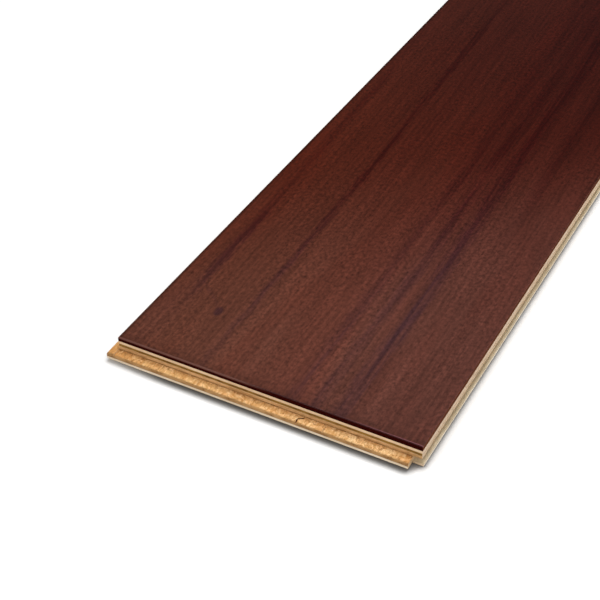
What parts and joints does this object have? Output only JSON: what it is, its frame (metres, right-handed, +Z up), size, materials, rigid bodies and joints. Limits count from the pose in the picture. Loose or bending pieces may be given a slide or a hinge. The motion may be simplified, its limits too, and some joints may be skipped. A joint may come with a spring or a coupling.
{
  "type": "engineered floorboard",
  "caption": "Multi-ply hardwood floorboard with a dark stained wear layer and tongue-and-groove milling on its long edges and ends, for laying side by side as a floor.",
  "frame": {"origin": "on the underside, at the middle of the laying module, which is the rectangle of the walking face", "axes": "+Z up out of the walking face, +Y along the board towards the end with the groove, +X across it towards the long edge with the groove"},
  "size_m": [0.1285, 0.9145, 0.01],
  "materials": {
    "stained_hardwood": "dark reddish-brown stain under satin lacquer",
    "cross_ply": "raw sawn plywood veneer, grain across the board",
    "long_ply": "raw sawn plywood veneer, grain along the board",
    "back_veneer": "raw sanded veneer"
  },
  "bodies": {
    "root": {"wear_layer": "stained_hardwood", "upper_cross_ply": "cross_ply", "upper_long_ply": "long_ply", "middle_cross_ply": "cross_ply", "core_ply": "long_ply", "lower_cross_ply": "cross_ply", "back_veneer": "back_veneer"}
  },
  "joints": []
}
